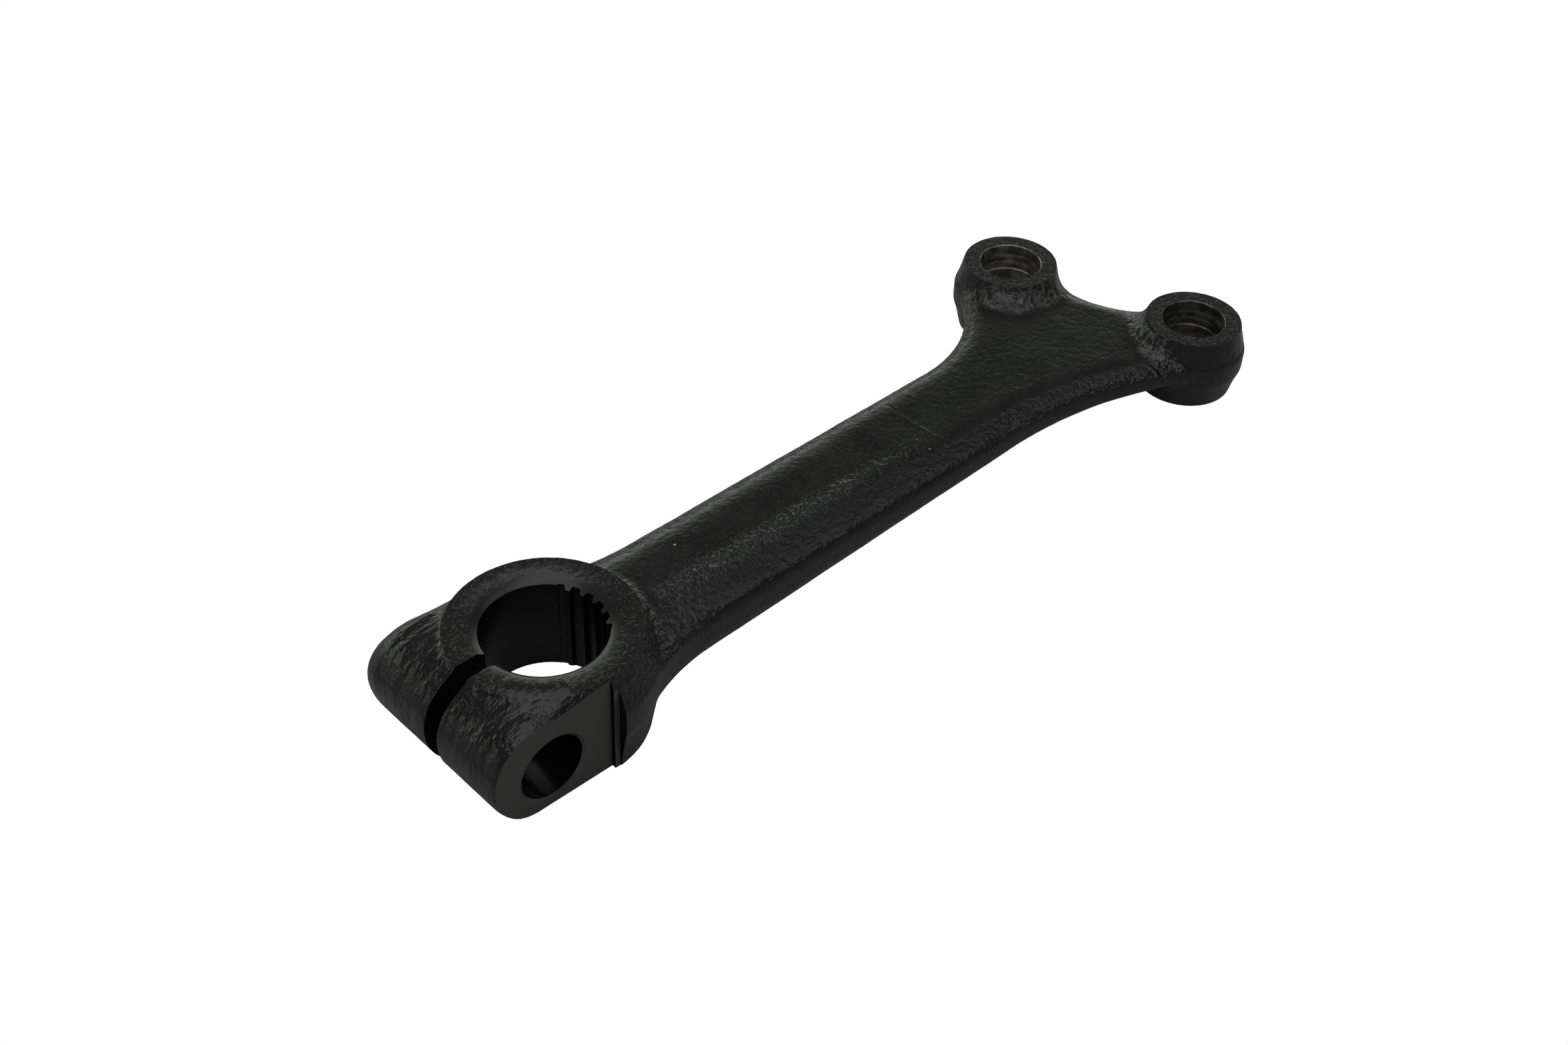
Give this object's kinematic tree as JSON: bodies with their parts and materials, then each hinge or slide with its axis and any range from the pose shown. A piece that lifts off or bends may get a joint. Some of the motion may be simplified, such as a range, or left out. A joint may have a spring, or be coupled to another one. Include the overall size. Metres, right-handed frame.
{
  "type": "pitman arm",
  "caption": "Forged steel pitman arm with a split, splined clamp eye and a forked end with holed bosses; it turns the steering box shaft's rotation into a pull on the track rods.",
  "frame": {"origin": "the bore's axis, on the clamp eye's lower face", "axes": "+Z along the bore axis towards the eye's upper face, +X along the arm towards the fork, +Y towards the far boss"},
  "size_m": [0.2043, 0.0653, 0.022],
  "materials": {
    "forging": "black semi-gloss paint over pebbled forging skin"
  },
  "bodies": {
    "root": {"pitman_arm": "forging"}
  },
  "joints": []
}
